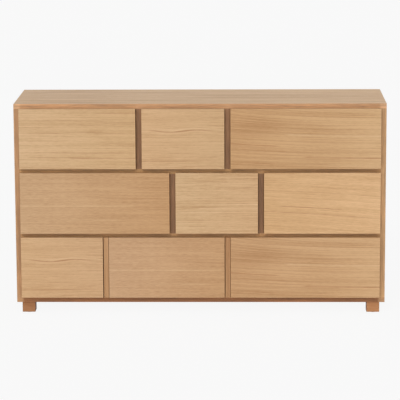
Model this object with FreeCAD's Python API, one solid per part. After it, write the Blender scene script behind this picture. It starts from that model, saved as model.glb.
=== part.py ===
import FreeCAD, Part
import os
from FreeCAD import Vector

# A long chest of drawers in oak: nine drawers without handles in three rows, on four square feet.
# All lengths are in millimetres. X runs along the chest, -Y is its front and Z is up.
# The origin is on the floor, in the middle of the chest's length and depth.

# Openings in the case. Each row holds one small, one medium and one large opening.
SMALL_OPENING = 358.0
MEDIUM_OPENING = 504.0
LARGE_OPENING = 648.0
OPENING_HEIGHT = 261.0

# Boards of the case. The dividers are a little thicker: runners are screwed to both their faces.
BOARD = 22.0
DIVIDER = 23.0
CASE_DEPTH = 472.0
BOARD_ARRIS = 1.0

# Drawer fronts. They stand ahead of the case, so that fingers reach round their edges. Those of
# the top row reach less far up, so that more of the top board's edge shows over them.
FRONT_THICKNESS = 18.0
FINGER_SPACE = 10.0
FRONT_SIDE_GAP = 1.0
FRONT_BOTTOM_GAP = 3.5
FRONT_TOP_LAP = 8.5
TOP_ROW_LAP = 3.0
FRONT_ARRIS = 1.5

# Strips that fill the gaps between the fronts of the bottom row, nearer to the front on their right
STRIP_SETBACK = 1.0
STRIP_LEFT_GAP = 3.0
STRIP_RIGHT_GAP = 1.0

# Back panel, held in a rebate round the back of the case
BACK_THICKNESS = 8.0
BACK_RECESS = 2.0
BACK_FIT = 0.5
REBATE_WIDTH = 11.0

# Feet and the felt under them
FOOT_HEIGHT = 48.0
FOOT_SIDE = 56.0
FOOT_SETBACK = 10.0
FOOT_ARRIS = 1.5
GLIDE_THICKNESS = 2.0
GLIDE_RADIUS = 21.0

# Drawer boxes
BOX_BOARD = 14.0
BOX_ARRIS = 1.5
BOX_SIDE_CLEARANCE = 5.0
BOX_BOTTOM_CLEARANCE = 8.0
BOX_TOP_CLEARANCE = 12.0
BOX_BACK_CLEARANCE = 17.0
BACK_END_INSET = 10.0
HOUSING_DEPTH = 4.0
BASE_THICKNESS = 6.0
BASE_RISE = 9.0
BASE_GROOVE_DEPTH = 5.0
BASE_FIT = 0.5

# Wooden runners on the case, and the grooves in the drawer sides that slide on them
RUNNER_HEIGHT = 16.0
RUNNER_THICKNESS = 11.0
RUNNER_SETBACK = 25.0
RUNNER_BACK_INSET = 20.0
RUNNER_NOSE = 3.0
GROOVE_DEPTH = 7.0
RUNNING_GAP = 0.3
UNDER_RUNNER_GAP = 1.0

# Dowels
DOWEL_RADIUS = 4.0
DOWEL_IN_FACE_SHARE = 0.5
DOWEL_IN_EDGE = 22.0
DOWEL_END_ROOM = 1.0
DOWEL_MARGIN = 42.0
GLUE_GAP = 0.1

# Countersunk screws, and how deep they bite into what they hold
RUNNER_SCREW_SHANK = 1.9
RUNNER_SCREW_HEAD = 3.8
RUNNER_SCREW_HEAD_HEIGHT = 2.4
RUNNER_SCREW_BITE_SHARE = 0.4
BACK_SCREW_SHANK = 1.75
BACK_SCREW_HEAD = 3.5
BACK_SCREW_HEAD_HEIGHT = 2.2
BACK_SCREW_BITE = 17.0
FOOT_BOLT_SHANK = 4.0
FOOT_BOLT_HEAD = 8.0
FOOT_BOLT_HEAD_HEIGHT = 4.5
FOOT_BOLT_BITE_SHARE = 0.65
SCREW_GAP = 0.1
RECESS_DEPTH_SHARE = 0.6
RECESS_LENGTH_SHARE = 1.1
RECESS_WIDTH_SHARE = 0.22
SCREW_MARGIN = 60.0

# How far a cutting shape runs past the face that it leaves
OVERRUN = 5.0

# How near two places are when they count as one
SAME_PLACE = 0.01

# Counts
CASE_JOINT_DOWEL_COUNT = 5
SHELF_JOINT_DOWEL_COUNT = 4
DIVIDER_JOINT_DOWEL_COUNT = 3
STRIP_DOWEL_COUNT = 3
RUNNER_SCREW_COUNT = 3
BACK_SCREW_ALONG_COUNT = 9
BACK_SCREW_UP_COUNT = 5
SHELF_SCREW_COUNT = 6

# The rows from the top down, and the openings of each row from left to right
ROW_NAMES = ("top", "middle", "bottom")
COLUMN_NAMES = ("left", "centre", "right")
ROW_OPENINGS = (
    (MEDIUM_OPENING, SMALL_OPENING, LARGE_OPENING),
    (LARGE_OPENING, SMALL_OPENING, MEDIUM_OPENING),
    (SMALL_OPENING, MEDIUM_OPENING, LARGE_OPENING),
)

# Sizes that follow from those above
CLEAR_WIDTH = SMALL_OPENING + MEDIUM_OPENING + LARGE_OPENING + DIVIDER + DIVIDER
CHEST_WIDTH = CLEAR_WIDTH + BOARD + BOARD
CHEST_HEIGHT = FOOT_HEIGHT + BOARD + len(ROW_NAMES) * (OPENING_HEIGHT + BOARD)
CHEST_DEPTH = CASE_DEPTH + FINGER_SPACE + FRONT_THICKNESS
RIGHT_X = CHEST_WIDTH / 2
LEFT_X = -RIGHT_X
FRONT_Y = -CHEST_DEPTH / 2
BACK_Y = CHEST_DEPTH / 2
FRONT_BACK_Y = FRONT_Y + FRONT_THICKNESS
CASE_Y = FRONT_BACK_Y + FINGER_SPACE
PANEL_Y = BACK_Y - BACK_RECESS - BACK_THICKNESS
BOTTOM_Z = FOOT_HEIGHT
TOP_Z = CHEST_HEIGHT
FLOOR_Z = BOTTOM_Z + BOARD
CEILING_Z = TOP_Z - BOARD
RUNNER_FRONT_Y = CASE_Y + RUNNER_SETBACK
BOX_BACK_Y = PANEL_Y - BOX_BACK_CLEARANCE
RUNNER_BACK_Y = BOX_BACK_Y - RUNNER_BACK_INSET
DOWEL_IN_FACE = BOARD * DOWEL_IN_FACE_SHARE
DOWEL_IN_STRIP = (CASE_Y - FRONT_Y - STRIP_SETBACK) * DOWEL_IN_FACE_SHARE
RUNNER_SCREW_LENGTH = RUNNER_THICKNESS + BOARD * RUNNER_SCREW_BITE_SHARE
BACK_SCREW_LENGTH = BACK_THICKNESS + BACK_SCREW_BITE
FOOT_BOLT_LENGTH = BOARD + (FOOT_HEIGHT - GLIDE_THICKNESS) * FOOT_BOLT_BITE_SHARE

# Shank radius, head radius, head height and length of each kind of screw
RUNNER_SCREW = (RUNNER_SCREW_SHANK, RUNNER_SCREW_HEAD, RUNNER_SCREW_HEAD_HEIGHT, RUNNER_SCREW_LENGTH)
BACK_SCREW = (BACK_SCREW_SHANK, BACK_SCREW_HEAD, BACK_SCREW_HEAD_HEIGHT, BACK_SCREW_LENGTH)
FOOT_BOLT = (FOOT_BOLT_SHANK, FOOT_BOLT_HEAD, FOOT_BOLT_HEAD_HEIGHT, FOOT_BOLT_LENGTH)


def save(name, solids):
    """Writes the solids of one node."""
    shape = solids[0] if len(solids) == 1 else Part.makeCompound(solids)
    shape.exportStep("parts/" + name + ".step")


def block(x0, x1, y0, y1, z0, z1):
    """A square-edged block between two corners."""
    return Part.makeBox(x1 - x0, y1 - y0, z1 - z0, Vector(x0, y0, z0))


def edges_in_plane(shape, axis, place):
    """The edges that lie in the plane where one coordinate has one value."""
    found = []
    for edge in shape.Edges:
        if all(abs(vertex.Point[axis] - place) < SAME_PLACE for vertex in edge.Vertexes):
            found.append(edge)
    return found


def ease(shape, radius, edges):
    """Rounds the edges that a hand would touch."""
    return shape.makeFillet(radius, edges)


def bore(shape, holes):
    """Cuts the holes that reach a piece. Each hole comes with the box round it."""
    space = shape.BoundBox
    near = [hole for hole, box in holes if box.intersect(space)]
    return shape.cut(near) if near else shape


def spread(start, end, count):
    """Evenly spaced places from start to end."""
    step = (end - start) / (count - 1)
    return [start + step * number for number in range(count)]


def row_floor(row):
    """Height of the floor of a row's openings."""
    return FLOOR_Z + (len(ROW_NAMES) - 1 - row) * (OPENING_HEIGHT + BOARD)


def row_openings(row):
    """Left and right side of each opening of a row."""
    found = []
    left = LEFT_X + BOARD
    for width in ROW_OPENINGS[row]:
        found.append((left, left + width))
        left += width + DIVIDER
    return found


def row_dividers(row):
    """Left side of each divider of a row."""
    return [right for left, right in row_openings(row)[:-1]]


def front_heights(row):
    """Bottom and top of the drawer fronts of a row."""
    bottom = row_floor(row) + FRONT_BOTTOM_GAP
    lap = FRONT_TOP_LAP if row else TOP_ROW_LAP
    return bottom, row_floor(row) + OPENING_HEIGHT + lap


def box_heights(row):
    """Bottom and top of the drawer boxes of a row."""
    bottom = row_floor(row) + BOX_BOTTOM_CLEARANCE
    return bottom, row_floor(row) + OPENING_HEIGHT - BOX_TOP_CLEARANCE


def runner_heights(row):
    """Bottom and top of the runners of a row, halfway up the drawer boxes."""
    middle = sum(box_heights(row)) / 2
    return middle - RUNNER_HEIGHT / 2, middle + RUNNER_HEIGHT / 2


def foot_centres():
    """Name, and middle in X and Y, of each foot."""
    inset = BOARD + FOOT_SIDE / 2
    front = CASE_Y + FOOT_SETBACK + FOOT_SIDE / 2
    back = BACK_Y - FOOT_SETBACK - FOOT_SIDE / 2
    return (
        ("front_left_foot", LEFT_X + inset, front),
        ("front_right_foot", RIGHT_X - inset, front),
        ("back_left_foot", LEFT_X + inset, back),
        ("back_right_foot", RIGHT_X - inset, back),
    )


# Dowels. Each is given by the point where it crosses the joint and the way it points into the
# end of the second board.

def dowel_places():
    """Joint point, direction, depth in the first board and depth in the second one."""
    places = []
    front = CASE_Y + DOWEL_MARGIN
    back = PANEL_Y - DOWEL_MARGIN
    for x in (LEFT_X + BOARD / 2, RIGHT_X - BOARD / 2):
        for y in spread(front, back, CASE_JOINT_DOWEL_COUNT):
            places.append((Vector(x, y, CEILING_Z), Vector(0, 0, -1), DOWEL_IN_FACE, DOWEL_IN_EDGE))
            places.append((Vector(x, y, FLOOR_Z), Vector(0, 0, 1), DOWEL_IN_FACE, DOWEL_IN_EDGE))
    for row in range(len(ROW_NAMES) - 1):
        shelf = row_floor(row) - BOARD / 2
        for y in spread(front, back, SHELF_JOINT_DOWEL_COUNT):
            left = Vector(LEFT_X + BOARD, y, shelf)
            right = Vector(RIGHT_X - BOARD, y, shelf)
            places.append((left, Vector(1, 0, 0), DOWEL_IN_FACE, DOWEL_IN_EDGE))
            places.append((right, Vector(-1, 0, 0), DOWEL_IN_FACE, DOWEL_IN_EDGE))
    for row in range(len(ROW_NAMES)):
        floor = row_floor(row)
        for left in row_dividers(row):
            middle = left + DIVIDER / 2
            for y in spread(front, back, DIVIDER_JOINT_DOWEL_COUNT):
                foot = Vector(middle, y, floor)
                head = Vector(middle, y, floor + OPENING_HEIGHT)
                places.append((foot, Vector(0, 0, 1), DOWEL_IN_FACE, DOWEL_IN_EDGE))
                places.append((head, Vector(0, 0, -1), DOWEL_IN_FACE, DOWEL_IN_EDGE))
    bottom_row = len(ROW_NAMES) - 1
    low = row_floor(bottom_row) + DOWEL_MARGIN
    high = row_floor(bottom_row) + OPENING_HEIGHT - DOWEL_MARGIN
    for left in row_dividers(bottom_row):
        for z in spread(low, high, STRIP_DOWEL_COUNT):
            joint = Vector(left + DIVIDER / 2, CASE_Y, z)
            places.append((joint, Vector(0, 1, 0), DOWEL_IN_STRIP, DOWEL_IN_EDGE))
    return places


def dowel(place, gap):
    """A dowel, or with a gap the hole that it is glued into."""
    joint, direction, behind, ahead = place
    slack = 0 if gap else DOWEL_END_ROOM
    start = joint - direction * (behind - slack)
    return Part.makeCylinder(DOWEL_RADIUS + gap, behind + ahead - slack - slack, start, direction)


# Screws. Each is given by the middle of its head's flat top and the way it points.

def screw(size, gap):
    """A countersunk screw with a cross recess, or with a gap the hole that it sits in.

    Its flat top is at the origin and it points up.
    """
    shank, head, head_height, length = size
    cone = Part.makeCone(head + gap, shank + gap, head_height)
    body = cone.fuse(Part.makeCylinder(shank + gap, length + gap))
    if gap:
        return body
    return body.cut(cross_recess(shank, head_height))


def cross_recess(shank, head_height):
    """The cross that a screwdriver fits."""
    long = shank * RECESS_LENGTH_SHARE
    thin = shank * RECESS_WIDTH_SHARE
    deep = head_height * RECESS_DEPTH_SHARE
    one = block(-long, long, -thin, thin, -deep, deep)
    other = block(-thin, thin, -long, long, -deep, deep)
    return one.fuse(other)


def screws(size, places, gap):
    """A copy of a screw, or of its hole, at each place."""
    first = screw(size, gap)
    copies = []
    for top, direction in places:
        copy = first.copy()
        copy.Placement = FreeCAD.Placement(top, FreeCAD.Rotation(Vector(0, 0, 1), direction))
        copies.append(copy)
    return copies


def runner_screw_places():
    """Head and direction of each screw through a runner into the case."""
    places = []
    margin = SCREW_MARGIN
    rows = spread(RUNNER_FRONT_Y + margin, RUNNER_BACK_Y - margin, RUNNER_SCREW_COUNT)
    for row in range(len(ROW_NAMES)):
        bottom, top = runner_heights(row)
        middle = (bottom + top) / 2
        for left, right in row_openings(row):
            for y in rows:
                places.append((Vector(left + RUNNER_THICKNESS, y, middle), Vector(-1, 0, 0)))
                places.append((Vector(right - RUNNER_THICKNESS, y, middle), Vector(1, 0, 0)))
    return places


def back_screw_places():
    """Head and direction of each screw through the back panel."""
    y = BACK_Y - BACK_RECESS
    ledge = REBATE_WIDTH / 2
    inward = Vector(0, -1, 0)
    low = FLOOR_Z - ledge
    high = CEILING_Z + ledge
    left = LEFT_X + BOARD - ledge
    right = RIGHT_X - BOARD + ledge
    points = []
    for x in spread(LEFT_X + SCREW_MARGIN, RIGHT_X - SCREW_MARGIN, BACK_SCREW_ALONG_COUNT):
        points.append((x, low))
        points.append((x, high))
    for z in spread(FLOOR_Z + SCREW_MARGIN, CEILING_Z - SCREW_MARGIN, BACK_SCREW_UP_COUNT):
        points.append((left, z))
        points.append((right, z))
    for row in range(len(ROW_NAMES) - 1):
        shelf = row_floor(row) - BOARD / 2
        for x in spread(LEFT_X + SCREW_MARGIN, RIGHT_X - SCREW_MARGIN, SHELF_SCREW_COUNT):
            points.append((x, shelf))
    for row in range(len(ROW_NAMES)):
        for divider in row_dividers(row):
            points.append((divider + DIVIDER / 2, row_floor(row) + OPENING_HEIGHT / 2))
    return [(Vector(x, y, z), inward) for x, z in points]


def foot_bolt_places():
    """Head and direction of each bolt through the bottom board into a foot."""
    return [(Vector(x, y, FLOOR_Z), Vector(0, 0, -1)) for name, x, y in foot_centres()]


# Boards of the case

def back_window():
    """The space of the rebate that takes the back panel."""
    x0 = LEFT_X + BOARD - REBATE_WIDTH
    z0 = FLOOR_Z - REBATE_WIDTH
    z1 = CEILING_Z + REBATE_WIDTH
    return block(x0, -x0, PANEL_Y, BACK_Y + OVERRUN, z0, z1)


def lying_board(z0):
    """The top or the bottom board, which lies over or under the sides."""
    board = block(LEFT_X, RIGHT_X, CASE_Y, BACK_Y, z0, z0 + BOARD)
    return ease(board, BOARD_ARRIS, board.Edges)


def side_board(x0):
    """A side board, between the top and the bottom board."""
    board = block(x0, x0 + BOARD, CASE_Y, BACK_Y, FLOOR_Z, CEILING_Z)
    edges = [edge for edge in board.Edges if edge.BoundBox.ZLength > BOARD]
    return ease(board, BOARD_ARRIS, edges)


def shelf_board(row):
    """The shelf under a row of openings."""
    floor = row_floor(row)
    board = block(LEFT_X + BOARD, RIGHT_X - BOARD, CASE_Y, PANEL_Y, floor - BOARD, floor)
    edges = [edge for edge in edges_in_plane(board, 1, CASE_Y) if edge.BoundBox.XLength > BOARD]
    return ease(board, BOARD_ARRIS, edges)


def divider_board(row, left):
    """An upright board between two openings of a row."""
    floor = row_floor(row)
    board = block(left, left + DIVIDER, CASE_Y, PANEL_Y, floor, floor + OPENING_HEIGHT)
    edges = [edge for edge in edges_in_plane(board, 1, CASE_Y) if edge.BoundBox.ZLength > BOARD]
    return ease(board, BOARD_ARRIS, edges)


def front_strip(left):
    """An upright strip on the front edge of a divider of the bottom row, between two fronts."""
    bottom, top = front_heights(len(ROW_NAMES) - 1)
    face = FRONT_Y + STRIP_SETBACK
    x0 = left - FRONT_SIDE_GAP + STRIP_LEFT_GAP
    x1 = left + DIVIDER + FRONT_SIDE_GAP - STRIP_RIGHT_GAP
    strip = block(x0, x1, face, CASE_Y, bottom, top)
    return ease(strip, BOARD_ARRIS, edges_in_plane(strip, 1, face))


def back_board():
    """The back panel, a little smaller than its rebate."""
    x1 = RIGHT_X - BOARD + REBATE_WIDTH - BACK_FIT
    z0 = FLOOR_Z - REBATE_WIDTH + BACK_FIT
    z1 = CEILING_Z + REBATE_WIDTH - BACK_FIT
    return block(-x1, x1, PANEL_Y, PANEL_Y + BACK_THICKNESS, z0, z1)


def foot_block(x, y):
    """A square foot, from the bottom board down to its felt."""
    half = FOOT_SIDE / 2
    foot = block(x - half, x + half, y - half, y + half, GLIDE_THICKNESS, BOTTOM_Z)
    flush = edges_in_plane(foot, 2, BOTTOM_Z)
    edges = [edge for edge in foot.Edges if not any(edge.isSame(other) for other in flush)]
    return ease(foot, FOOT_ARRIS, edges)


def glide(x, y):
    """A round felt glide under a foot."""
    return Part.makeCylinder(GLIDE_RADIUS, GLIDE_THICKNESS, Vector(x, y, 0))


def runner(wall, inward, row):
    """A runner strip on the wall of an opening. inward is 1 or -1 in X."""
    bottom, top = runner_heights(row)
    x0, x1 = sorted((wall, wall + inward * RUNNER_THICKNESS))
    strip = block(x0, x1, RUNNER_FRONT_Y, RUNNER_BACK_Y, bottom, top)
    tip = edges_in_plane(strip, 0, wall + inward * RUNNER_THICKNESS)
    nose = [edge for edge in tip if abs(edge.CenterOfMass.y - RUNNER_FRONT_Y) < SAME_PLACE]
    return ease(strip, RUNNER_NOSE, nose)


def case_parts():
    """Name and solids of each node of the case."""
    dowels = dowel_places()
    holes = [dowel(place, GLUE_GAP) for place in dowels]
    holes += screws(RUNNER_SCREW, runner_screw_places(), SCREW_GAP)
    holes += screws(BACK_SCREW, back_screw_places(), SCREW_GAP)
    holes += screws(FOOT_BOLT, foot_bolt_places(), SCREW_GAP)
    holes = [(hole, hole.BoundBox) for hole in holes]
    window = back_window()
    parts = {}
    parts["top_panel"] = [lying_board(CEILING_Z).cut(window)]
    parts["bottom_panel"] = [lying_board(BOTTOM_Z).cut(window)]
    parts["left_side_panel"] = [side_board(LEFT_X).cut(window)]
    parts["right_side_panel"] = [side_board(RIGHT_X - BOARD).cut(window)]
    parts["upper_shelf"] = [shelf_board(0)]
    parts["lower_shelf"] = [shelf_board(1)]
    for row, row_name in enumerate(ROW_NAMES):
        for side, left in zip(("left", "right"), row_dividers(row)):
            parts[row_name + "_row_" + side + "_divider"] = [divider_board(row, left)]
    parts["bottom_row_front_strips"] = [front_strip(left) for left in row_dividers(len(ROW_NAMES) - 1)]
    parts["back_panel"] = [back_board()]
    runners = []
    for row in range(len(ROW_NAMES)):
        for left, right in row_openings(row):
            runners.append(runner(left, 1, row))
            runners.append(runner(right, -1, row))
    parts["drawer_runners"] = runners
    for name, x, y in foot_centres():
        parts[name] = [foot_block(x, y)]
    bored = {name: [bore(solid, holes) for solid in solids] for name, solids in parts.items()}
    bored["felt_glides"] = [glide(x, y) for name, x, y in foot_centres()]
    bored["case_dowels"] = [dowel(place, 0) for place in dowels]
    bored["runner_screws"] = screws(RUNNER_SCREW, runner_screw_places(), 0)
    bored["back_panel_screws"] = screws(BACK_SCREW, back_screw_places(), 0)
    bored["foot_bolts"] = screws(FOOT_BOLT, foot_bolt_places(), 0)
    return bored


# Drawers

def drawer_front(left, right, row):
    """The visible front, rounded on all its edges."""
    bottom, top = front_heights(row)
    x0 = left + FRONT_SIDE_GAP
    x1 = right - FRONT_SIDE_GAP
    front = block(x0, x1, FRONT_Y, FRONT_BACK_Y, bottom, top)
    return ease(front, FRONT_ARRIS, front.Edges)


def base_groove(left, right, row):
    """The space of the groove that runs round the inside of a box for its base."""
    bottom, top = box_heights(row)
    x0 = left + BOX_SIDE_CLEARANCE + BOX_BOARD - BASE_GROOVE_DEPTH
    x1 = right - BOX_SIDE_CLEARANCE - BOX_BOARD + BASE_GROOVE_DEPTH
    y0 = FRONT_BACK_Y + BOX_BOARD - BASE_GROOVE_DEPTH
    y1 = BOX_BACK_Y - BACK_END_INSET - BOX_BOARD + BASE_GROOVE_DEPTH
    return x0, x1, y0, y1, bottom + BASE_RISE, bottom + BASE_RISE + BASE_THICKNESS


def box_ends(left, right, row):
    """The inner front and the back of a box, which are let into its sides."""
    bottom, top = box_heights(row)
    x0 = left + BOX_SIDE_CLEARANCE + BOX_BOARD - HOUSING_DEPTH
    x1 = right - BOX_SIDE_CLEARANCE - BOX_BOARD + HOUSING_DEPTH
    groove = block(*base_groove(left, right, row))
    ends = []
    for y0 in (FRONT_BACK_Y, BOX_BACK_Y - BACK_END_INSET - BOX_BOARD):
        end = block(x0, x1, y0, y0 + BOX_BOARD, bottom, top)
        ends.append(end.cut(groove))
    return ends


def box_sides(left, right, row):
    """The two sides of a box, grooved for the runners and housed for the ends."""
    bottom, top = box_heights(row)
    runner_bottom, runner_top = runner_heights(row)
    low = runner_bottom - UNDER_RUNNER_GAP
    high = runner_top + RUNNING_GAP
    start = RUNNER_FRONT_Y - RUNNING_GAP
    cuts = box_ends(left, right, row) + [block(*base_groove(left, right, row))]
    sides = []
    for outer, inward in ((left + BOX_SIDE_CLEARANCE, 1), (right - BOX_SIDE_CLEARANCE, -1)):
        x0, x1 = sorted((outer, outer + inward * BOX_BOARD))
        side = block(x0, x1, FRONT_BACK_Y, BOX_BACK_Y, bottom, top)
        long_edges = [edge for edge in edges_in_plane(side, 2, top) if edge.BoundBox.YLength > BOX_BOARD]
        side = ease(side, BOX_ARRIS, long_edges)
        g0, g1 = sorted((outer - inward * OVERRUN, outer + inward * GROOVE_DEPTH))
        groove = block(g0, g1, start, BOX_BACK_Y + OVERRUN, low, high)
        sides.append(side.cut([groove] + cuts))
    return sides


def box_base(left, right, row):
    """The thin base, a little smaller than its groove."""
    x0, x1, y0, y1, z0, z1 = base_groove(left, right, row)
    return block(x0 + BASE_FIT, x1 - BASE_FIT, y0 + BASE_FIT, y1 - BASE_FIT, z0, z1)


def drawer_parts():
    """Name and solids of each node of the drawers."""
    parts = {}
    for row, row_name in enumerate(ROW_NAMES):
        for column_name, (left, right) in zip(COLUMN_NAMES, row_openings(row)):
            drawer = row_name + "_" + column_name + "_drawer_"
            parts[drawer + "front"] = [drawer_front(left, right, row)]
            parts[drawer + "sides"] = box_sides(left, right, row)
            parts[drawer + "ends"] = box_ends(left, right, row)
            parts[drawer + "base"] = [box_base(left, right, row)]
    return parts


def main():
    """Makes every node and writes it."""
    os.makedirs("parts", exist_ok=True)
    parts = case_parts()
    parts.update(drawer_parts())
    for name, solids in parts.items():
        save(name, solids)
    print("Chest:", CHEST_WIDTH, "long,", CHEST_DEPTH, "deep,", CHEST_HEIGHT, "high")
    print("Nodes:", len(parts), "solids:", sum(len(solids) for solids in parts.values()))
    print("Length of a drawer side on its runner:", BOX_BACK_Y - RUNNER_FRONT_Y)


main()
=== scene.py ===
# %% [markdown]
# # A long oak chest of drawers
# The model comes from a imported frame: every board, screw and runner is already there at its real
# size, in metres, and each drawer rides on a body of its own. This lesson gives those pieces their
# finishes, adds the small screws that hold the drawer fronts, and sets up the studio.

# %% Load the frame
import math
import random

import bpy
from mathutils import Matrix, Vector


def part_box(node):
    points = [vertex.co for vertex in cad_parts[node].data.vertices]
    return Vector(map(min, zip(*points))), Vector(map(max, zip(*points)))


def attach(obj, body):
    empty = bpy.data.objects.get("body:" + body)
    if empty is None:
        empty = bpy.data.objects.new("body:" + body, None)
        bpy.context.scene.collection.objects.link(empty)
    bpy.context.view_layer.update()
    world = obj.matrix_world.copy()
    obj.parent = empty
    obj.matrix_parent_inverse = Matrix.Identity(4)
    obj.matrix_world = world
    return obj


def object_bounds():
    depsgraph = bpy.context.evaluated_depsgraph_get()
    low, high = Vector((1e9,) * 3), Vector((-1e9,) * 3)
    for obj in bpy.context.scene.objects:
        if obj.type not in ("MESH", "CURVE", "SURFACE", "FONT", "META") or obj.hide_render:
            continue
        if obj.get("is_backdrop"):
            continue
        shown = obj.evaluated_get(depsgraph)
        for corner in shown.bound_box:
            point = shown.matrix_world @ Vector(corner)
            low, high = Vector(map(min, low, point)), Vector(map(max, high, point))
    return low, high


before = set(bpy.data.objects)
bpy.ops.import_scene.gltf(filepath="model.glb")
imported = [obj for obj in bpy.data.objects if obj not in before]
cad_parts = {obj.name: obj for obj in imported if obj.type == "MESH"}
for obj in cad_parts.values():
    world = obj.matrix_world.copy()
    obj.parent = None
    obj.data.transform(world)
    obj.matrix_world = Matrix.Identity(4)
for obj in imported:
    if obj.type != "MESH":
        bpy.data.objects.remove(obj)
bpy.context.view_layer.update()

ROWS = ("top", "middle", "bottom")
DRAWERS = [row + "_" + column + "_drawer" for row in ROWS for column in ("left", "centre", "right")]

# %% [markdown]
# ## Colours and nodes
# Colours are written as they look on a screen, in hex, and Blender reckons in linear light, so one
# function turns one into the other. A second function adds a node with its settings and links. Nodes
# could be laid out by hand in the shader editor, but each board of oak has a material of its own,
# and functions lay them all out alike.

# %% Helpers for materials
MM = 0.001


def colour(code):
    """A hex colour as linear red, green, blue and alpha."""
    shares = [int(code[start:start + 2], 16) / 255 for start in (1, 3, 5)]
    linear = [share / 12.92 if share <= 0.04045 else ((share + 0.055) / 1.055) ** 2.4 for share in shares]
    return (*linear, 1)


def put(tree, kind, inputs=None, **settings):
    """Adds a node, gives it its settings, and fills or links its inputs."""
    node = tree.nodes.new("ShaderNode" + kind)
    for name, value in settings.items():
        setattr(node, name, value)
    for socket, value in (inputs or {}).items():
        if isinstance(value, bpy.types.NodeSocket):
            tree.links.new(value, node.inputs[socket])
        else:
            node.inputs[socket].default_value = value
    return node


def new_material(name):
    """An empty material and its tree."""
    material = bpy.data.materials.new(name)
    material.use_nodes = True
    material.node_tree.nodes.clear()
    return material, material.node_tree


def finish_surface(tree, base, roughness, bump=None, **constants):
    """The surface shader of a material. Constants go on the shader's own sockets."""
    surface = put(tree, "BsdfPrincipled", {"Base Color": base, "Roughness": roughness})
    for name, value in constants.items():
        surface.inputs[name.replace("_", " ").title().replace("Ior", "IOR")].default_value = value
    if bump is not None:
        tree.links.new(bump, surface.inputs["Normal"])
    put(tree, "OutputMaterial", {"Surface": surface.outputs["BSDF"]})


print("Check of the colour function:", [round(share, 3) for share in colour("#CDA980")])

# %% [markdown]
# ## The camera
# The photograph was taken from the front, a little to the right of the middle and about two metres
# up, with a long lens from far away, so the chest keeps its shape and its top shows as a thin band.
# A wider lens from close by could fill the picture too, but the top would narrow towards the back.
# The values were found by trying the corners of the chest against the photograph. The place is in
# metres and the lens in millimetres.

# %% Set the camera
CAMERA_PLACE = Vector((0.188, -9.296, 2.174))
CAMERA_LENS = 192.4
LOOK_DOWN = math.radians(10.45)
TURN_LEFT = math.radians(1.19)
ROLL = math.radians(-0.26)

camera_data = bpy.data.cameras.new("camera")
camera_data.lens = CAMERA_LENS
camera = bpy.data.objects.new("camera", camera_data)
bpy.context.scene.collection.objects.link(camera)
aim = Matrix.Rotation(TURN_LEFT, 4, "Z") @ Matrix.Rotation(math.pi / 2 - LOOK_DOWN, 4, "X")
camera.matrix_world = Matrix.Translation(CAMERA_PLACE) @ aim @ Matrix.Rotation(ROLL, 4, "Z")
bpy.context.scene.camera = camera

# %% [markdown]
# ## The grain of wood
# Wood is a stack of rings round a trunk. A board cuts through them, so its face shows long arches
# where the cut runs close to the middle of the trunk, and straight lines beside them. That can be
# reckoned: the distance from a slightly tilted line, the pith, tells in which ring a point lies.
# Streaks of colour and open pores follow the rings too, so they are random patterns pulled out
# long in the same bent coordinates. A picture of wood could be laid on each board instead, but it
# would repeat from board to board and blur from close by.

# %% Sums, ranges and streaks
SEED_STEPS = (1.37, 2.71, 3.19)
SEED_RANGE = 50
NOISE_MIDDLE = 0.5


def reckon(tree, operation, first, second=0.0, third=0.0):
    """The result of one sum on numbers that change over the surface."""
    return put(tree, "Math", {0: first, 1: second, 2: third}, operation=operation).outputs[0]


def ramp(tree, value, low, high, to_low=0.0, to_high=1.0):
    """Turns the range from low to high into another range, and keeps inside that."""
    inputs = {"Value": value, "From Min": low, "From Max": high, "To Min": to_low, "To Max": to_high}
    return put(tree, "MapRange", inputs).outputs[0]


def blend(tree, share, first, second):
    """Two colours mixed by a share. A Mix node takes its colours at 6 and 7 and gives one at 2."""
    return put(tree, "Mix", {0: share, 6: first, 7: second}, data_type="RGBA").outputs[2]


def board_coordinates(tree, order, corner):
    """A board's own coordinates, from its corner: along the grain, across it and through it."""
    place = put(tree, "TexCoord").outputs["Object"]
    local = put(tree, "VectorMath", {0: place, 1: corner}, operation="SUBTRACT").outputs["Vector"]
    split = put(tree, "SeparateXYZ", {"Vector": local})
    return [split.outputs[axis] for axis in order]


def streaks(tree, grain, size, seed, detail=1.0):
    """A random pattern about 0, with its length along the grain and its width in millimetres."""
    long, thin = [1 / (side * MM) for side in size]
    shift = [seed * step % SEED_RANGE for step in SEED_STEPS]
    pulled = put(tree, "Mapping", {"Vector": grain, "Location": shift, "Scale": (long, thin, thin)})
    pattern = put(tree, "TexNoise", {"Vector": pulled.outputs[0], "Scale": 1.0, "Detail": detail})
    return reckon(tree, "SUBTRACT", pattern.outputs[0], NOISE_MIDDLE)


print("Steps between random patterns:", SEED_STEPS)

# %% The rings of a trunk
SWAY_SIZE = (330, 90)
RING_RISE = 5.0
RING_FALL = 2.0
RING_CONTRAST = 2.5
RING_SEED_STEP = 7.0


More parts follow.
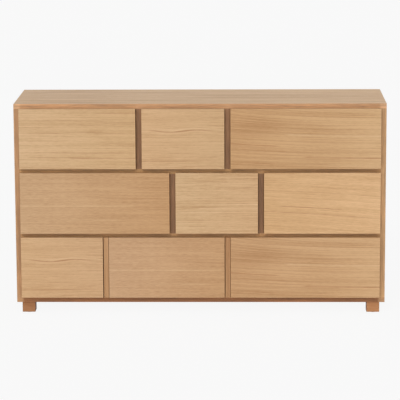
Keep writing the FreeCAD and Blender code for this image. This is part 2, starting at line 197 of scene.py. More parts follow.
def ring_distance(tree, along, across, through, figure, seed):
    """The distance of a point from the pith of its trunk, in metres, with a natural sway."""
    aside = reckon(tree, "SUBTRACT", across, figure["pith"] * MM)
    below = reckon(tree, "MULTIPLY_ADD", along, figure["tilt"], figure["depth"] * MM)
    below = reckon(tree, "SUBTRACT", below, through)
    arm = put(tree, "CombineXYZ", {"X": aside, "Y": below})
    radius = put(tree, "VectorMath", {0: arm.outputs[0]}, operation="LENGTH").outputs["Value"]
    flat = put(tree, "CombineXYZ", {"X": along, "Y": across, "Z": through}).outputs[0]
    sway = streaks(tree, flat, SWAY_SIZE, seed)
    radius = reckon(tree, "MULTIPLY_ADD", sway, figure["sway"] * MM, radius)
    for height, reach, swing, length, start in figure.get("waves", ()):
        run = reckon(tree, "SUBTRACT", along, start * MM)
        turn = reckon(tree, "MULTIPLY", run, math.tau / (length * MM))
        away = reckon(tree, "ABSOLUTE", reckon(tree, "SUBTRACT", across, height * MM))
        swing_here = ramp(tree, away, 0.0, reach * MM, swing * MM, 0.0)
        radius = reckon(tree, "MULTIPLY_ADD", reckon(tree, "SINE", turn), swing_here, radius)
    return radius


def ring_tone(tree, radius, spacing, seed):
    """How dark the spring wood makes a point: it starts sharply in each ring and fades outwards."""
    number = reckon(tree, "DIVIDE", radius, spacing * MM)
    ring = reckon(tree, "FRACT", number)
    rise = reckon(tree, "MINIMUM", reckon(tree, "MULTIPLY", ring, RING_RISE), 1.0)
    fall = reckon(tree, "POWER", reckon(tree, "SUBTRACT", 1.0, ring), RING_FALL)
    year = reckon(tree, "ADD", reckon(tree, "FLOOR", number), seed * RING_SEED_STEP)
    strength = put(tree, "TexWhiteNoise", {"W": year}, noise_dimensions="1D").outputs["Value"]
    strength = reckon(tree, "POWER", strength, RING_CONTRAST)
    return reckon(tree, "MULTIPLY", reckon(tree, "MULTIPLY", rise, fall), strength)


print("A ring is darkest at this share of its width:", 1 / RING_RISE)

# %% [markdown]
# ## Oak
# Light oak veneer under matt lacquer: straw to honey, with fine brown pores in dashes, rings that
# are darker where growth began each spring, and a soft gloss. Sheets of veneer come from different
# places in a trunk, so the boards differ in figure and tone. One random pattern could give all the
# streaks, but real ones come in many lengths and widths, so several kinds lie over one another. Real
# pores are a few tenths of a millimetre wide and real rings two to four millimetres: both are drawn
# coarser here, so that they show.

# %% The streaks of oak
STREAKS = {
    # length and width in millimetres, what the board's seed grows by, and the detail of the noise
    "fine": ((24, 2.0), 1, 2.0),
    "patches": ((230, 90), 2, 1.0),
    "narrow": ((800, 4.6), 3, 1.0),
    "pores": ((18, 0.9), 4, 1.0),
    "flecks": ((60, 5), 5, 2.0),
    "broad": ((700, 20), 6, 1.0),
    "hairs": ((900, 12), 7, 1.0),
    "clouds": ((240, 20), 8, 1.0),
    "short": ((210, 3.4), 9, 1.0),
    "breaks": ((60, 30), 10, 1.0),
}
STRENGTHS = {
    # how much each pattern darkens a face, where the board's figure says nothing else
    "rings": 0.3,
    "hairs": 0.14,
    "patches": 0.35,
    "broad": 0.4,
    "narrow": 1.0,
    "short": 0.8,
    "fine": 0.7,
}
GROUND_TONE = 0.2
HAIR_WIDTH = 0.03


def oak_streaks(tree, grain, kind, seed, pitch=1.0):
    """One kind of streak. A pitch below 1 makes it narrower."""
    (length, width), step, detail = STREAKS[kind]
    return streaks(tree, grain, (length, width * pitch), seed + step, detail)


def oak_patterns(tree, grain, ring, seed, pitch):
    """The patterns that darken a face, by name."""
    hair = reckon(tree, "ABSOLUTE", oak_streaks(tree, grain, "hairs", seed))
    patterns = {"rings": ring, "hairs": ramp(tree, hair, 0.0, HAIR_WIDTH, 1.0, 0.0)}
    for kind in ("patches", "broad"):
        patterns[kind] = oak_streaks(tree, grain, kind, seed)
    for kind in ("narrow", "short", "fine"):
        patterns[kind] = oak_streaks(tree, grain, kind, seed, pitch)
    return patterns


def soft_spot(tree, along, across, place, size):
    """1 in the middle of an oval and 0 outside it. Lengths are in millimetres."""
    offset = put(tree, "CombineXYZ", {
        "X": reckon(tree, "DIVIDE", reckon(tree, "SUBTRACT", along, place[0] * MM), size[0] * MM),
        "Y": reckon(tree, "DIVIDE", reckon(tree, "SUBTRACT", across, place[1] * MM), size[1] * MM)})
    distance = put(tree, "VectorMath", {0: offset.outputs[0]}, operation="LENGTH").outputs["Value"]
    inputs = {"Value": distance, "From Min": 1.0, "From Max": 0.0}
    return put(tree, "MapRange", inputs, interpolation_type="SMOOTHSTEP").outputs[0]


def oak_tone(tree, patterns, ground, along, across, figure):
    """How dark the wood is at a point, from 0 to 1."""
    tone = ground
    for kind, strength in STRENGTHS.items():
        tone = reckon(tree, "MULTIPLY_ADD", patterns[kind], figure.get(kind, strength), tone)
    for place, size, strength in figure.get("spots", ()):
        spot = soft_spot(tree, along, across, place, size)
        tone = reckon(tree, "MULTIPLY_ADD", spot, strength, tone)
    return put(tree, "Math", {0: tone, 1: 0.0}, operation="MAXIMUM", use_clamp=True).outputs[0]


print("Kinds of streak:", len(STREAKS))

# %% [markdown]
# ## Sheets, lines and pores
# A wide board carries several sheets of veneer, every second one turned over, and each has a tone of
# its own. Oak also has a few strong lines, brown or pale, and open pores all over. The lines could be
# rings with more contrast, but those would cross the whole board, and real lines start and end.

# %% Sheets of veneer, single lines and pores
SHEET_TURN = 2.3
SHEET_CONTRAST = 0.04
LINE_BROWN = "#9C6231"
PALE_LINE = "#E8C9A0"
LINE_FADE = 30
LINE_BREAKS = (-0.2, 0.1)
FAINTEST_LINE = 0.4
PORE_BROWN = "#8E5C30"
PORE_RANGE = (0.10, 0.2)
PORES_IN_SPRING_WOOD = 0.5
PORES_EVERYWHERE = 0.14


def veneer_sheets(tree, across, width, ground, seed):
    """Sheets side by side: each mirrors the one before, and has a tone of its own."""
    sheet = reckon(tree, "FLOOR", reckon(tree, "DIVIDE", across, width * MM))
    wave = reckon(tree, "SINE", reckon(tree, "MULTIPLY_ADD", sheet, SHEET_TURN, seed))
    ground = reckon(tree, "MULTIPLY_ADD", wave, SHEET_CONTRAST, ground)
    return reckon(tree, "PINGPONG", across, width * MM), ground


def draw_lines(tree, face, grain, along, radius, seed, figure):
    """The few strong lines of a face. They follow the rings and break up here and there."""
    breaks = oak_streaks(tree, grain, "breaks", seed)
    uneven = ramp(tree, breaks, *LINE_BREAKS, FAINTEST_LINE, 1.0)
    for place, width, share, start, end in figure.get("lines", ()):
        at = math.hypot(place - figure["pith"], figure["depth"]) * MM
        away = reckon(tree, "ABSOLUTE", reckon(tree, "SUBTRACT", radius, at))
        begun = ramp(tree, along, (start - LINE_FADE) * MM, start * MM)
        ended = ramp(tree, along, end * MM, (end + LINE_FADE) * MM)
        drawn = reckon(tree, "MULTIPLY", ramp(tree, away, 0.0, width * MM, abs(share), 0.0), uneven)
        drawn = reckon(tree, "MULTIPLY", drawn, reckon(tree, "SUBTRACT", begun, ended))
        face = blend(tree, drawn, face, colour(LINE_BROWN if share > 0 else PALE_LINE))
    return face


def draw_pores(tree, face, pore, ring):
    """Brown pores, most of them in the spring wood of each ring."""
    share = reckon(tree, "MULTIPLY_ADD", ring, PORES_IN_SPRING_WOOD, PORES_EVERYWHERE)
    return blend(tree, reckon(tree, "MULTIPLY", pore, share), face, colour(PORE_BROWN))


print("Lines fade over millimetres:", LINE_FADE)

# %% [markdown]
# ## Lipped edges
# The cut edge of a veneered board is lipped with a thin strip of solid oak, a little redder and
# darker than the face, with short flecks. The strips could be pieces of their own, but they are so
# thin that the material paints them, wherever a point lies in the outer skin of a board. On the
# fronts' sides, the dividers, the top and bottom boards and the inner sides of the feet this skin
# also carries painted shade, and on the right side board painted light.

# %% Lipped edges
LIP_THICKNESS = 0.6
LIP_RANGE = 0.3
CORNER_LENGTH = 24
CORNER_FADE = 8


def lip_mask(tree, box, axes):
    """1 in the outer skin of a board on the given axes, and 0 elsewhere."""
    place = put(tree, "TexCoord").outputs["Object"]
    low, high = box
    split = put(tree, "SeparateXYZ", {"Vector": place})
    mask = 0.0
    for axis in axes:
        middle = (low[axis] + high[axis]) / 2
        reach = (high[axis] - low[axis]) / 2 - LIP_THICKNESS * MM
        away = reckon(tree, "ABSOLUTE", reckon(tree, "SUBTRACT", split.outputs[axis], middle))
        mask = reckon(tree, "MAXIMUM", mask, reckon(tree, "GREATER_THAN", away, reach))
    return mask


def unshaded_corner_mask(tree, along, length):
    """1 near both ends of a board, where painted shade stops, 0 between, with a soft change."""
    away = reckon(tree, "ABSOLUTE", reckon(tree, "SUBTRACT", along, length / 2))
    start = length / 2 - CORNER_LENGTH * MM
    return ramp(tree, away, start - CORNER_FADE * MM, start)


def lip_wood(tree, grain, along, length, seed, lip_and_painted_light, corner):
    """The strip of solid oak on an edge, whose colour may carry painted shade or painted light, and which
    may have another colour near the corners, where the painted shade stops.
    """
    shade, strength = lip_and_painted_light
    flecks = oak_streaks(tree, grain, "flecks", seed)
    clouds = oak_streaks(tree, grain, "clouds", seed)
    pattern = reckon(tree, "ADD", flecks, clouds)
    tint = ramp(tree, pattern, -LIP_RANGE, LIP_RANGE, 1 - strength, 1 + strength)
    wood = colour(shade)[:3]
    if corner:
        wood = blend(tree, unshaded_corner_mask(tree, along, length), colour(shade), colour(corner))
    return put(tree, "VectorMath", {0: wood, "Scale": tint}, operation="SCALE").outputs[0]


print("Corners of an edge, in millimetres:", CORNER_LENGTH)

# %% [markdown]
# ## The oak as a whole
# A light and a dark colour of the same wood are mixed by the sum of the patterns, and lines, pores
# and edges lie over that. The lacquer fills most of the grain, so the relief is slight, and the gloss
# changes only a little from streak to streak. Each board's material could be a copy that is changed
# by hand, but a function needs just the few values in which the boards differ.

# %% The whole of the oak
LIGHT_WOOD = (1.10, 1.13, 1.18)
DARK_WOOD = (0.68, 0.56, 0.40)
FINE_RANGE = 0.25
LACQUER_ROUGHNESS = (0.42, 0.56)
LACQUER_GLOSS = 0.5
PORE_DEPTH = -0.6
RELIEF_STRENGTH = 0.25
RELIEF_HEIGHT = 0.15
PLAIN_LIP = ("#B88B61", 0.22)


def tinted(code, factors):
    """A hex colour made lighter or darker, with one factor for each of red, green and blue."""
    return (*[min(part * factor, 1.0) for part, factor in zip(colour(code)[:3], factors)], 1)


def oak(name, box, order, left, right, seed, figure, lips=(), lip_and_painted_light=PLAIN_LIP, corner=None, sheet=None):
    """Oak veneer on a board.

    order gives the axes along, across and through the grain, and left and right the colours at the
    two ends of the board. lips are the axes whose ends are lipped, lip_and_painted_light the colour of
    those ends and how strong their figure is, where the colour on some boards carries painted shade
    and on one painted light, corner their colour near the board's corners, where that painted shade
    stops, and sheet the width of one sheet of veneer.
    """
    material, tree = new_material(name)
    low, high = box
    axis = "XYZ".index(order[0])
    length = high[axis] - low[axis]
    along, across, through = board_coordinates(tree, order, low)
    ground = GROUND_TONE
    if sheet:
        across, ground = veneer_sheets(tree, across, sheet, ground, seed)
    radius = ring_distance(tree, along, across, through, figure, seed)
    grain = put(tree, "CombineXYZ", {"X": along, "Y": radius, "Z": through}).outputs[0]
    ring = ring_tone(tree, radius, figure["spacing"], seed)
    patterns = oak_patterns(tree, grain, ring, seed, figure.get("pitch", 1.0))
    tone = oak_tone(tree, patterns, ground, along, across, figure)

    run = reckon(tree, "DIVIDE", along, length)
    light = blend(tree, run, tinted(left, LIGHT_WOOD), tinted(right, LIGHT_WOOD))
    dark = blend(tree, run, tinted(left, DARK_WOOD), tinted(right, DARK_WOOD))
    face = blend(tree, tone, light, dark)
    face = draw_lines(tree, face, grain, along, radius, seed, figure)
    pore = ramp(tree, oak_streaks(tree, grain, "pores", seed), *PORE_RANGE)
    face = draw_pores(tree, face, pore, ring)
    if lips:
        edge = lip_wood(tree, grain, along, length, seed, lip_and_painted_light, corner)
        face = blend(tree, lip_mask(tree, box, lips), face, edge)

    roughness = ramp(tree, patterns["fine"], -FINE_RANGE, FINE_RANGE, *LACQUER_ROUGHNESS)
    relief = reckon(tree, "MULTIPLY_ADD", pore, PORE_DEPTH, patterns["fine"])
    inputs = {"Height": relief, "Strength": RELIEF_STRENGTH, "Distance": RELIEF_HEIGHT * MM}
    bump = put(tree, "Bump", inputs).outputs[0]
    gloss = figure.get("gloss", LACQUER_GLOSS)
    finish_surface(tree, face, roughness, bump, specular_ior_level=gloss)
    return material


def dress(node, material):
    """Gives a piece of the frame its material."""
    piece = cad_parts[node]
    piece.data.materials.clear()
    piece.data.materials.append(material)


print("Oak is ready")

# %% [markdown]
# ## The nine fronts
# The fronts carry the look of the chest. Six figures serve nine drawers, because sheets that were
# cut one after another from a log look alike: the two largest on the right share one, the two
# smallest with a wavy line share one, and two plain ones share a third. A figure says where the
# board lay in its trunk, how strong each pattern is, and where single lines and spots lie.

# %% Dress the fronts
# Lengths are in millimetres, from the lower left corner of a front. pith: height of the trunk's
# middle; depth: how far it lies behind the face; tilt: how the depth changes along the board;
# spacing: from ring to ring; sway: how far the grain wanders; pitch: how coarse the streaks are;
# waves: height, reach, swing, length and start; lines: height at the left end, width, share, start
# and end, where a share below 0 is a pale line; spots: place, size and share; the names in
# STRENGTHS: how much that pattern darkens the face
FRONT_FIGURES = {
    "calm": dict(pith=-330, depth=120, tilt=0.02, spacing=9, sway=5, narrow=0.7, fine=0.85, hairs=0.08,
                 lines=((73, 2.6, 0.5, 30, 480), (51, 2.6, 0.45, 60, 150), (51, 2.8, 0.6, 240, 500),
                        (156, 2.6, 0.4, 60, 170), (156, 2.6, 0.35, 390, 470), (123, 2.4, 0.35, 40, 190),
                        (246, 2.6, 0.6, 360, 500)),
                 spots=(((330, 158), (80, 24), 0.3),)),
    "wavy": dict(pith=-260, depth=150, tilt=0.0, spacing=8, sway=3, pitch=0.5, narrow=1.0, short=1.3,
                 fine=1.1, hairs=0.05,
                 waves=((166, 30, 5.0, 235, 65),),
                 lines=((166, 3.2, 0.8, 45, 110), (166, 3.2, 0.9, 150, 215), (166, 3.0, 0.6, 250, 290),
                        (173, 3.0, -0.45, 20, 340), (157, 2.6, -0.3, 0, 180), (36, 2.6, 0.35, 0, 340),
                        (12, 2.6, 0.5, 190, 340))),
    "swept": dict(pith=450, depth=120, tilt=-0.19, spacing=9, sway=5, rings=0.3, patches=0.4, hairs=0.1,
                  lines=((111, 3.0, 0.75, 0, 190), (66, 3.0, 0.8, 330, 640), (31, 2.6, 0.55, 110, 170),
                         (165, 3.4, -0.45, 260, 640), (152, 2.8, 0.4, 0, 200), (205, 2.6, 0.4, 0, 220),
                         (190, 2.6, 0.4, 20, 200), (88, 2.6, 0.35, 60, 230)),
                  spots=(((120, 190), (210, 50), 0.13), ((110, 85), (230, 50), 0.11),
                         ((450, 200), (220, 80), -0.04))),
    "plain": dict(pith=-500, depth=90, tilt=0.01, spacing=7, sway=4, pitch=0.8, rings=0.12, broad=0.2,
                  narrow=0.45, short=0.8, fine=1.35, hairs=0.06,
                  lines=((202, 2.6, 0.4, 480, 640), (154, 2.6, 0.4, 470, 640), (119, 2.6, 0.35, 500, 640),
                         (123, 2.6, -0.45, 0, 320), (123, 2.6, -0.4, 350, 480), (62, 2.6, -0.3, 150, 420))),
    "fine": dict(pith=-420, depth=60, tilt=-0.02, spacing=7, sway=4, pitch=0.5, rings=0.14, narrow=1.2,
                 short=1.7, fine=1.6, hairs=0.06,
                 lines=((128, 3.0, -0.45, 90, 350), (110, 3.0, -0.5, 110, 350), (94, 2.6, -0.35, 30, 250))),
    "arched": dict(pith=-330, depth=90, tilt=0.2, spacing=10, sway=4, rings=0.2, narrow=0.7, fine=0.8,
                   hairs=0.06,
                   lines=((99, 2.6, 0.6, 0, 500), (124, 2.8, 0.6, 90, 330), (150, 2.4, 0.35, 0, 300),
                          (190, 2.4, 0.35, 0, 480))),
}
FRONTS = {
    # figure, colour at the left, colour at the right, seed
    "top_left": ("calm", "#CDA97E", "#C7A173", 11),
    "top_centre": ("wavy", "#CCA579", "#C7A276", 23),
    "top_right": ("swept", "#BF9465", "#CAA375", 35),
    "middle_left": ("plain", "#C49E75", "#BD9264", 47),
    "middle_centre": ("fine", "#CBA87D", "#C8A175", 59),
    "middle_right": ("arched", "#CDA474", "#D6AD7E", 71),
    "bottom_left": ("wavy", "#CBA478", "#C8A177", 23),
    "bottom_centre": ("plain", "#C39C75", "#BD9367", 47),
    "bottom_right": ("swept", "#BE9468", "#C9A174", 35),
}
# The fronts' side edges are redder solid oak lipping, darkened further as painted shade for the narrow
# slits between the fronts.
FRONT_LIP_AND_PAINTED_SHADE = ("#8E5B2E", 0.22)
for place, (figure, left, right, seed) in FRONTS.items():
    node = place + "_drawer_front"
    finish = oak("oak_veneer_" + place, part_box(node), "XZY", left, right, seed, FRONT_FIGURES[figure],
                 lips=(0,), lip_and_painted_light=FRONT_LIP_AND_PAINTED_SHADE)
    dress(node, finish)
print("Fronts dressed:", len(FRONTS))

# %% [markdown]
# ## The boards of the case
# The case is veneered like the fronts, but its boards are wider than one sheet, so sheets lie side
# by side, each the mirror image of the one before. One sheet over a whole board could do, but it
# would need a very thick trunk. The edges that show get lips of solid oak. Their colours differ a
# little from board to board, as strips from different planks do, and some also carry painted light.
# The edges of the top and bottom boards are painted darker, as painted shade of the fronts, apart
# from their corners. The edges of the dividers are painted darker as shade between the fronts, and
# the right side board's edge is painted lighter, as light from the right.

# %% Dress the case
STRAIGHT = dict(pith=-380, depth=140, tilt=0.02, spacing=10, sway=10, rings=0.35)
CROWN = dict(pith=120, depth=46, tilt=0.035, spacing=9, sway=10, rings=0.6)
TOP = dict(pith=-380, depth=140, tilt=0.01, spacing=12, sway=8, rings=0.6, broad=0.9, patches=0.7,
           narrow=1.5)
CASE_FACE = ("#CCA67C", "#CCA67C")
TOP_FACE = ("#CEA87C", "#D8B183")
# the dividers' edges: lipping, darkened as painted shade in the gaps between the fronts
DIVIDER_LIP_AND_PAINTED_SHADE = ("#9C724D", 0.22)
DIVIDER_SEED = 197
LIPS_AND_PAINTED_LIGHT = {
    # colour of the lips, and how strong their figure is; the top and bottom colours are darkened as
    # painted shade of the fronts, and the right side's is lightened as painted light from the right
    "top_panel": ("#C59468", 0.26),
    "bottom_panel": ("#976338", 0.22),
    "right_side_panel": ("#C79B6C", 0.22),
    "upper_shelf": ("#C29460", 0.22),
    "lower_shelf": ("#BD8F5E", 0.22),
}
# the lipping's own colour at the corners of the top and bottom boards, where the painted shade of the
# fronts stops
UNSHADED_CORNERS = {"top_panel": "#D6A67A", "bottom_panel": "#B88B61"}
CASE_BOARDS = {
    # order of the axes, lipped axes, figure, seed, width of a sheet of veneer
    "top_panel": ("XYZ", (0, 1), TOP, 101, 236),
    "bottom_panel": ("XYZ", (0, 1), STRAIGHT, 113, 236),
    "left_side_panel": ("ZYX", (1,), CROWN, 127, 236),
    "right_side_panel": ("ZYX", (1,), CROWN, 139, 236),
    "upper_shelf": ("XYZ", (1,), STRAIGHT, 151, 231),
    "lower_shelf": ("XYZ", (1,), STRAIGHT, 163, 231),
    "back_panel": ("ZXY", (), STRAIGHT, 175, 226),
}
DIVIDERS = [row + "_row_" + side + "_divider" for row in ROWS for side in ("left", "right")]
for number, node in enumerate(DIVIDERS):
    CASE_BOARDS[node] = ("ZYX", (1,), STRAIGHT, DIVIDER_SEED + number, 231)
    LIPS_AND_PAINTED_LIGHT[node] = DIVIDER_LIP_AND_PAINTED_SHADE
for node, (order, lips, figure, seed, sheet) in CASE_BOARDS.items():
    left, right = TOP_FACE if node == "top_panel" else CASE_FACE
    finish = oak("oak_veneer_" + node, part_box(node), order, left, right, seed, figure,
                 lips=lips, lip_and_painted_light=LIPS_AND_PAINTED_LIGHT.get(node, PLAIN_LIP), corner=UNSHADED_CORNERS.get(node), sheet=sheet)
    dress(node, finish)
print("Case boards dressed:", len(CASE_BOARDS))

# %% [markdown]
# ## Solid oak
# The feet and the two strips between the bottom fronts are small pieces of solid oak. The feet are
# oiled, not lacquered, so they are darker than the veneer and have hardly any gloss. Their inner
# sides are painted darker still, as painted shade under the chest, laid on the way lipping is. A
# foot's outer side doesn't get it, because its finish is laid out on a box that reaches a little past it.

# %% Dress the feet and the strips
SOLID = dict(pith=-70, depth=60, tilt=0.02, spacing=7, sway=5, rings=0.4, broad=0.3, narrow=0.8, fine=0.5)
OILED = dict(SOLID, gloss=0.1)
FEET = ("front_left_foot", "front_right_foot", "back_left_foot", "back_right_foot")
FOOT_TONES = {"left": "#A67651", "right": "#BA865D"}
# painted shade on the inner sides of the feet, laid on the way lipping is
FOOT_INNER_SIDE_PAINTED_SHADE = ("#6A4229", 0.1)
FOOT_SEED = 211
FOOT_SEED_STEP = 12
PAST_OUTER_SIDE_SHARE = 1.01
STRIPS = "bottom_row_front_strips"
STRIP_TONE = "#B68A5E"
STRIP_SEED = 263
SHADED_RIGHT_STRIP = ((130, 538), (600, 200), 0.3)

for number, node in enumerate(FEET):
    tone = FOOT_TONES["left" if "left" in node else "right"]
    low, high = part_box(node)
    outer = low if "left" in node else high
    outer.x *= PAST_OUTER_SIDE_SHARE
    finish = oak("solid_oak_" + node, (low, high), "XZY", tone, tone, FOOT_SEED + FOOT_SEED_STEP * number,
                 OILED, lips=(0,), lip_and_painted_light=FOOT_INNER_SIDE_PAINTED_SHADE)
    dress(node, finish)
strip_figure = dict(SOLID, spots=(SHADED_RIGHT_STRIP,))
dress(STRIPS, oak("solid_oak_strips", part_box(STRIPS), "ZXY", STRIP_TONE, STRIP_TONE, STRIP_SEED,
                  strip_figure))
print("Solid oak pieces:", len(FEET) + 1)

# %% [markdown]
# ## Inside the drawers
# Nobody sees the boxes until a drawer is open. They are birch plywood: pale cream, with faint
# wide figure on the faces and thin dark and light plies on every cut edge. The plies could be
# modelled as layers, but a pattern that counts them through the sheet shows the same on its edges.

# %% Birch plywood
PLY_THICKNESS = 1.4
PALE_PLY = "#D9BC8E"
DARK_PLY = "#A67C4E"
PLY_BROAD = (500, 60)
PLY_BROAD_SHARE = 0.9
PLY_FINE = (90, 2.5)
PLY_FINE_SHARE = 0.5
PLY_GROUND = 0.3
PLY_ROUGHNESS = 0.5
PLY_RELIEF_STRENGTH = 0.15
PLY_RELIEF_HEIGHT = 0.1
CUT_EDGE = 0.6
BOX_SEED = 929
BOX_SEED_STEP = 51
BOX_PARTS = {
    # order of the axes, light and dark colour, what the seed grows by, whether plies show
    "sides": ("YZX", "#E8D0AC", "#D2B088", 0, True),
    "ends": ("XZY", "#E8D0AC", "#D2B088", 5, True),
    "base": ("XYZ", "#E5CBA6", "#CDAA80", 9, False),
}


def draw_plies(tree, face, through, axis):
    """Light and dark plies on each face that looks away from the sheet's own direction."""
    normal = put(tree, "NewGeometry").outputs["Normal"]
    facing = put(tree, "SeparateXYZ", {"Vector": normal}).outputs[axis]
    edge = reckon(tree, "LESS_THAN", reckon(tree, "ABSOLUTE", facing), CUT_EDGE)
    layer = reckon(tree, "FRACT", reckon(tree, "DIVIDE", through, 2 * PLY_THICKNESS * MM))
    layer = reckon(tree, "GREATER_THAN", layer, 0.5)
    return blend(tree, edge, face, blend(tree, layer, colour(PALE_PLY), colour(DARK_PLY)))


def plywood(name, order, corner, ground, dark, seed, plies):
    """Birch plywood. order gives the axes along, across and through the sheet."""
    material, tree = new_material(name)
    along, across, through = board_coordinates(tree, order, corner)
    grain = put(tree, "CombineXYZ", {"X": along, "Y": across, "Z": through}).outputs[0]
    broad = streaks(tree, grain, PLY_BROAD, seed, detail=2.0)
    fine = streaks(tree, grain, PLY_FINE, seed + 1, detail=2.0)
    share = reckon(tree, "MULTIPLY_ADD", broad, PLY_BROAD_SHARE, PLY_GROUND)
    share = reckon(tree, "MULTIPLY_ADD", fine, PLY_FINE_SHARE, share)
    face = blend(tree, share, colour(ground), colour(dark))
    if plies:
        face = draw_plies(tree, face, through, order[2])
    inputs = {"Height": fine, "Strength": PLY_RELIEF_STRENGTH, "Distance": PLY_RELIEF_HEIGHT * MM}
    finish_surface(tree, face, PLY_ROUGHNESS, put(tree, "Bump", inputs).outputs[0])
    return material


for number, drawer in enumerate(DRAWERS):
    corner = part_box(drawer + "_sides")[0]
    for part, (order, ground, dark, step, plies) in BOX_PARTS.items():
        node = drawer + "_" + part
        seed = BOX_SEED + BOX_SEED_STEP * number + step
        dress(node, plywood("birch_ply_" + node, order, corner, ground, dark, seed, plies))
print("Drawer boxes dressed:", len(DRAWERS))

# %% [markdown]
# ## Runners and dowels
# The runners and dowels are beech, which is pinkish and even, with short dark flecks. The oak's rings
# with less contrast could serve here too, but beech hardly shows its rings, so broad streaks and
# flecks are enough. The flecks are drawn coarser than they are, so that they show.

# %% Beech
BEECH_BROAD = (300, 12)
BEECH_FLECK = (6, 0.8)
FLECK_RANGE = (0.12, 0.2)
FLECK_SHARE = 0.4
BEECH_ROUGHNESS = 0.45
RUNNER_SEED = 401
DOWEL_SEED = 409


def beech(name, order, corner, seed):
    """Beech: pinkish tan, even, with short dark flecks along the grain."""
    material, tree = new_material(name)
    along, across, through = board_coordinates(tree, order, corner)
    grain = put(tree, "CombineXYZ", {"X": along, "Y": across, "Z": through}).outputs[0]
    broad = streaks(tree, grain, BEECH_BROAD, seed, detail=2.0)
    fleck = ramp(tree, streaks(tree, grain, BEECH_FLECK, seed + 1, detail=0.0), *FLECK_RANGE)
    share = reckon(tree, "ADD", broad, NOISE_MIDDLE)
    face = blend(tree, share, colour("#D8AE84"), colour("#C0916A"))
    face = blend(tree, reckon(tree, "MULTIPLY", fleck, FLECK_SHARE), face, colour("#8E6140"))
    finish_surface(tree, face, BEECH_ROUGHNESS)
    return material


dress("drawer_runners", beech("beech_runners", "YZX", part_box("drawer_runners")[0], RUNNER_SEED))
dress("case_dowels", beech("beech_dowels", "ZXY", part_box("case_dowels")[0], DOWEL_SEED))
print("Size of a fleck, in millimetres:", BEECH_FLECK)

# %% [markdown]
# ## Screws and bolts
# They are steel with a thin coat of zinc, cool grey and a little uneven. One plain grey would look
# like painted metal, so a pattern of clouds changes both the colour and the gloss. The clouds are
# drawn coarser than they are, so that they show.

# %% Zinc-plated steel
ZINC_CLOUD = 2.0
ZINC_ROUGHNESS = (0.25, 0.45)
FIXINGS = ("runner_screws", "back_panel_screws", "foot_bolts")


def zinc_steel(name):
    """Zinc-plated steel: cool grey, a little uneven in gloss."""
    material, tree = new_material(name)
    place = put(tree, "TexCoord").outputs["Object"]
    inputs = {"Vector": place, "Scale": 1 / (ZINC_CLOUD * MM), "Detail": 2.0}
    cloud = put(tree, "TexNoise", inputs).outputs[0]
    base = blend(tree, cloud, colour("#C9CACB"), colour("#A9ABAD"))
    finish_surface(tree, base, ramp(tree, cloud, 0.0, 1.0, *ZINC_ROUGHNESS), metallic=1.0)
    return material


steel = zinc_steel("zinc_steel")
for node in FIXINGS:
    dress(node, steel)
print("Pieces of steel:", len(FIXINGS))

# %% [markdown]
# ## Glides
# The pads under the feet are punched from brown wool felt, which has no gloss at all. Its fibres
# could be modelled as hair, but the pads are hardly seen, so a fine relief is enough. The fibres are
# drawn coarser than they are, so that they show.

# %% Wool felt
FELT_FIBRE = 0.6
FELT_ROUGHNESS = 0.95
FELT_RELIEF_STRENGTH = 0.6
FELT_RELIEF_HEIGHT = 0.4


def wool_felt(name):
    """Brown wool felt: matted fibres, no gloss at all."""
    material, tree = new_material(name)
    place = put(tree, "TexCoord").outputs["Object"]
    inputs = {"Vector": place, "Scale": 1 / (FELT_FIBRE * MM), "Detail": 4.0}
    fibre = put(tree, "TexNoise", inputs).outputs[0]
    base = blend(tree, fibre, colour("#6B5B4C"), colour("#8D7B68"))
    inputs = {"Height": fibre, "Strength": FELT_RELIEF_STRENGTH, "Distance": FELT_RELIEF_HEIGHT * MM}
    finish_surface(tree, base, FELT_ROUGHNESS, put(tree, "Bump", inputs).outputs[0])
    return material


dress("felt_glides", wool_felt("wool_felt"))
print("Materials:", len(bpy.data.materials))

# %% [markdown]
# ## The screws that hold the fronts
# A drawer front is screwed to its box from inside, so that nothing shows outside. Each box has four
# pan-head screws with a cross recess. One head is modelled from a short cylinder: its rim is
# rounded, and two tapered bars cut the cross. A drawn outline could be turned round an axis instead,
# but the cross would still have to be cut. The other heads are copies, each turned by chance.

# %% Model one screw head
HEAD_RADIUS = 4.2
HEAD_HEIGHT = 2.6
HEAD_ROUNDING = 1.5
HEAD_SIDES = 32
ROUNDING_STEPS = 4
CROSS_LENGTH = 4.8
CROSS_WIDTH = 1.1
CROSS_DEPTH = 1.4
CROSS_TAPER = 0.55
SMOOTH_BELOW = math.radians(35)
STRAIGHT_UP = 0.9


def pick_faces(piece, test):
    """Selects the faces whose outward direction passes a test."""
    bpy.ops.object.mode_set(mode="EDIT")
    bpy.ops.mesh.select_mode(type="FACE")
    bpy.ops.mesh.select_all(action="DESELECT")
    bpy.ops.object.mode_set(mode="OBJECT")
    for face in piece.data.polygons:
        face.select = test(face.normal)
    bpy.ops.object.mode_set(mode="EDIT")


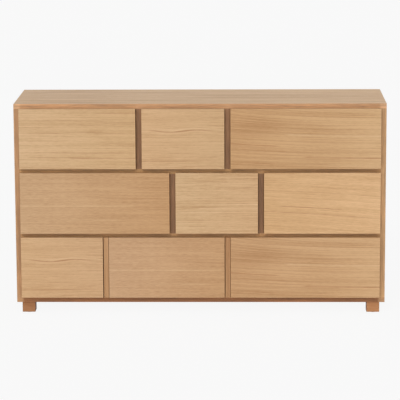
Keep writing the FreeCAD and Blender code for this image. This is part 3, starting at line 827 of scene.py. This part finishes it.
bpy.ops.object.select_all(action="DESELECT")
bpy.ops.mesh.primitive_cylinder_add(vertices=HEAD_SIDES, radius=HEAD_RADIUS * MM, depth=HEAD_HEIGHT * MM,
                                    location=(0, 0, HEAD_HEIGHT * MM / 2))
head = bpy.context.object
bpy.ops.object.transform_apply(location=True, rotation=True, scale=True)
pick_faces(head, lambda outward: outward.z > STRAIGHT_UP)
bpy.ops.mesh.bevel(offset=HEAD_ROUNDING * MM, segments=ROUNDING_STEPS)
bpy.ops.object.mode_set(mode="OBJECT")
for turn in (0, 90):
    bpy.ops.object.select_all(action="DESELECT")
    bpy.ops.mesh.primitive_cube_add(size=MM, location=(0, 0, HEAD_HEIGHT * MM),
                                    rotation=(0, 0, math.radians(turn)),
                                    scale=(CROSS_LENGTH, CROSS_WIDTH, 2 * CROSS_DEPTH))
    bar = bpy.context.object
    bpy.ops.object.transform_apply(location=True, rotation=True, scale=True)
    pick_faces(bar, lambda outward: outward.z < -STRAIGHT_UP)
    bpy.ops.transform.resize(value=(CROSS_TAPER, CROSS_TAPER, 1))
    bpy.ops.object.mode_set(mode="OBJECT")
    bpy.ops.object.select_all(action="DESELECT")
    bpy.context.view_layer.objects.active = head
    head.select_set(True)
    cut = head.modifiers.new("cross", "BOOLEAN")
    cut.operation = "DIFFERENCE"
    cut.object = bar
    bpy.ops.object.modifier_apply(modifier="cross")
    bpy.data.objects.remove(bar)
bpy.ops.object.shade_smooth_by_angle(angle=SMOOTH_BELOW)
print("Screw head faces:", len(head.data.polygons))

# %% Four screws in each drawer
BOX_BOARD = 14.0
SCREW_MARGIN_SIDE = 58.0
SCREW_MARGIN_UP = 48.0
TURN_SEED = 7

chance = random.Random(TURN_SEED)
for drawer in DRAWERS:
    low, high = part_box(drawer + "_ends")
    inner_face = low.y + BOX_BOARD * MM
    bpy.ops.object.select_all(action="DESELECT")
    for x in (low.x + SCREW_MARGIN_SIDE * MM, high.x - SCREW_MARGIN_SIDE * MM):
        for z in (low.z + SCREW_MARGIN_UP * MM, high.z - SCREW_MARGIN_UP * MM):
            copy = head.copy()
            copy.data = head.data.copy()
            bpy.context.scene.collection.objects.link(copy)
            spin = Matrix.Rotation(chance.uniform(0, math.pi), 4, "Z")
            into_box = Matrix.Rotation(-math.pi / 2, 4, "X")
            copy.data.transform(Matrix.Translation((x, inner_face, z)) @ into_box @ spin)
            copy.select_set(True)
            bpy.context.view_layer.objects.active = copy
    bpy.ops.object.join()
    screws = bpy.context.object
    screws.name = drawer + "_front_screws"
    screws.data.materials.clear()
    screws.data.materials.append(steel)
    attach(screws, drawer)
bpy.data.objects.remove(head)
print("Drawers with front screws:", len(DRAWERS))

# %% [markdown]
# ## The floor
# The photograph is a cut-out on near white, with hardly a shadow. Plain paper would do for the floor,
# but it would look greyer than the background. So this floor shows the background's white to the
# camera and keeps only a faint shadow.

# %% The floor
PAPER_WHITE = "#F7F7F7"
SHADOW_SHARE = 0.05
PAPER_GLOW = 1.03
FLOOR_SIZE = 160.0


def seen_directly(tree):
    """1 for what is seen straight, in a reflection or through glass, and 0 for scattered light."""
    path = put(tree, "LightPath")
    seen = reckon(tree, "MAXIMUM", path.outputs["Is Camera Ray"], path.outputs["Is Glossy Ray"])
    return reckon(tree, "MAXIMUM", seen, path.outputs["Is Transmission Ray"])


def paper_floor(name):
    """White paper that looks as bright as the background, and takes a faint shadow."""
    material, tree = new_material(name)
    paper = put(tree, "BsdfDiffuse", {"Color": colour(PAPER_WHITE)})
    white = put(tree, "Emission", {"Color": colour(PAPER_WHITE), "Strength": PAPER_GLOW})
    share = reckon(tree, "MULTIPLY", seen_directly(tree), 1 - SHADOW_SHARE)
    mixed = put(tree, "MixShader", {0: share, 1: paper.outputs[0], 2: white.outputs[0]})
    put(tree, "OutputMaterial", {"Surface": mixed.outputs[0]})
    return material


bpy.ops.object.select_all(action="DESELECT")
bpy.ops.mesh.primitive_plane_add(size=FLOOR_SIZE, location=(0, 0, 0))
floor = bpy.context.object
floor.name = "floor"
floor.data.materials.append(paper_floor("paper_floor"))
floor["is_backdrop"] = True
print("Floor, in metres:", FLOOR_SIZE)

# %% [markdown]
# ## The light
# The room gives half of the light, a very wide lamp behind the camera gives most of the rest, and a
# smaller one, higher up, draws the shadows that lie under the fronts. Area lamps could do the same,
# but lamps of the sun kind light the whole length of the chest evenly, wherever they stand.

# %% The room and the lamps
ROOM_LIGHT = 0.42
LAMPS = {
    # strength, where it shines from, and how wide it looks, in degrees
    "large_soft_lamp": (1.75, Vector((-0.16, -0.93, 0.26)), 95),
    "small_soft_lamp": (0.42, Vector((-0.20, -0.80, 0.56)), 12),
}
world = bpy.data.worlds.new("room")
bpy.context.scene.world = world
world.use_nodes = True
world.node_tree.nodes.clear()
room = put(world.node_tree, "Background", {"Color": (1, 1, 1, 1), "Strength": ROOM_LIGHT})
paper = put(world.node_tree, "Background", {"Color": colour(PAPER_WHITE), "Strength": 1.0})
seen = seen_directly(world.node_tree)
chosen = put(world.node_tree, "MixShader", {0: seen, 1: room.outputs[0], 2: paper.outputs[0]})
put(world.node_tree, "OutputWorld", {"Surface": chosen.outputs[0]})

for name, (strength, direction, width) in LAMPS.items():
    lamp_data = bpy.data.lights.new(name, "SUN")
    lamp_data.energy = strength
    lamp_data.angle = math.radians(width)
    lamp = bpy.data.objects.new(name, lamp_data)
    bpy.context.scene.collection.objects.link(lamp)
    lamp.rotation_euler = direction.to_track_quat("Z", "Y").to_euler()
bpy.context.scene.view_settings.view_transform = "Standard"
print("Lamps:", len(LAMPS))

# %% [markdown]
# ## Sizes and the end
# The finishes must not change the size of the chest, so the last line prints the size of the dressed model.

# %% Print the size
low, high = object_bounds()
print("Visual size:", [round(side, 3) for side in high - low])
